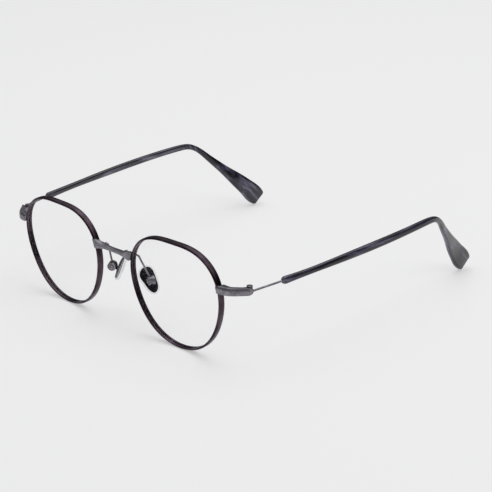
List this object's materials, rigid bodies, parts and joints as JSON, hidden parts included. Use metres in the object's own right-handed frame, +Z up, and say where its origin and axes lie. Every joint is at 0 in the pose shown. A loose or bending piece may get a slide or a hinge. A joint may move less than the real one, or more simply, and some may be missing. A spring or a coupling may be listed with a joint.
{
  "type": "wire eyeglasses",
  "caption": "Round wire eyeglasses with folding temples, rocking nose pads on wire arms and acetate sleeves over a wire core.",
  "frame": {"origin": "bottom centre of the whole object, open, standing on the rims and the two temple tips", "axes": "+X to the wearer's left, +Y from the lenses back along the temples, +Z up"},
  "size_m": [0.1536, 0.151, 0.0457],
  "materials": {
    "eyewire_lacquer": "satin plum-brown lacquer",
    "gunmetal": "satin gunmetal plating, lightly brushed",
    "screw_steel": "turned steel",
    "acetate": "polished navy and horn acetate with paler streaks",
    "clear_lens": "clear, coated against reflections",
    "pad_core": "moulded black",
    "silicone": "clear moulded silicone"
  },
  "bodies": {
    "front": {"bridge": "gunmetal", "rim_left": "eyewire_lacquer", "rim_right": "eyewire_lacquer", "lens_left": "clear_lens", "lens_right": "clear_lens", "endpiece_left": "gunmetal", "endpiece_right": "gunmetal", "closing_block_left": "gunmetal", "closing_block_right": "gunmetal", "rim_screw_left": "screw_steel", "rim_screw_right": "screw_steel", "hinge_front_left": "gunmetal", "hinge_front_right": "gunmetal", "hinge_screw_left": "screw_steel", "hinge_screw_right": "screw_steel", "pad_box_left": "gunmetal", "pad_box_right": "gunmetal", "pad_screw_left": "screw_steel", "pad_screw_right": "screw_steel", "pad_arm_left": "gunmetal", "pad_arm_right": "gunmetal"},
    "temple_left": {"hinge_rear_left": "gunmetal", "temple_core_left": "gunmetal", "temple_sleeve_left": "acetate"},
    "temple_right": {"hinge_rear_right": "gunmetal", "temple_core_right": "gunmetal", "temple_sleeve_right": "acetate"},
    "pad_left": {"pad_plate_left": "pad_core", "pad_cushion_left": "silicone"},
    "pad_right": {"pad_plate_right": "pad_core", "pad_cushion_right": "silicone"}
  },
  "joints": [
    {"name": "temple_fold_left", "type": "hinge", "parent": "front", "child": "temple_left", "pos_m": [0.0676, -0.06499, 0.03248], "axis": [0, 0, 1], "range_deg": [0, 90]},
    {"name": "temple_fold_right", "type": "hinge", "parent": "front", "child": "temple_right", "pos_m": [-0.0676, -0.06499, 0.03248], "axis": [0, 0, -1], "range_deg": [0, 75]},
    {"name": "pad_rock_left", "type": "hinge", "parent": "front", "child": "pad_left", "pos_m": [0.01194, -0.06532, 0.02074], "axis": [-0.4979, -0.8591, -0.1183], "range_deg": [-8, 8]},
    {"name": "pad_rock_right", "type": "hinge", "parent": "front", "child": "pad_right", "pos_m": [-0.01194, -0.06532, 0.02074], "axis": [-0.4979, 0.8591, 0.1183], "range_deg": [-8, 8]}
  ]
}
